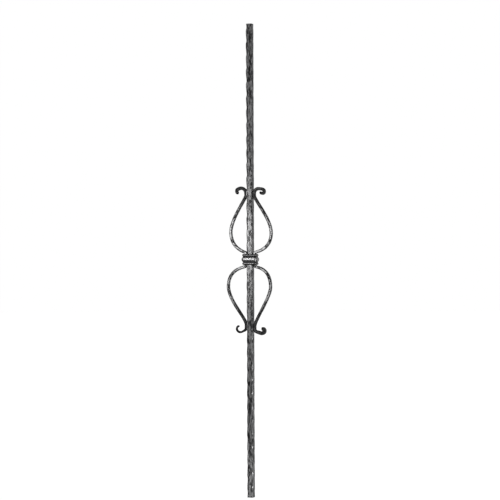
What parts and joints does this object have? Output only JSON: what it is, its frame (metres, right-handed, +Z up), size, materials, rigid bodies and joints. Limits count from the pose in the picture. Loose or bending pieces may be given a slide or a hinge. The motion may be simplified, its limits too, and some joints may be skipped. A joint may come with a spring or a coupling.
{
  "type": "iron stair baluster",
  "caption": "Tall square hammered iron stair baluster with bowed scrollwork arms, hooked ends and a moulded collar at mid height.",
  "frame": {"origin": "centre of the bar's foot end face", "axes": "+Z up along the bar from the foot to the top, scrollwork in the X-Z plane, front towards -Y"},
  "size_m": [0.115, 0.025, 1.1176],
  "materials": {
    "bar_iron": "satin",
    "scroll_iron": "satin",
    "collar_iron": "satin",
    "weld_iron": "satin"
  },
  "bodies": {
    "root": {"main_bar": "bar_iron", "left_scroll": "scroll_iron", "right_scroll": "scroll_iron", "collar": "collar_iron", "tack_welds": "weld_iron"}
  },
  "joints": []
}
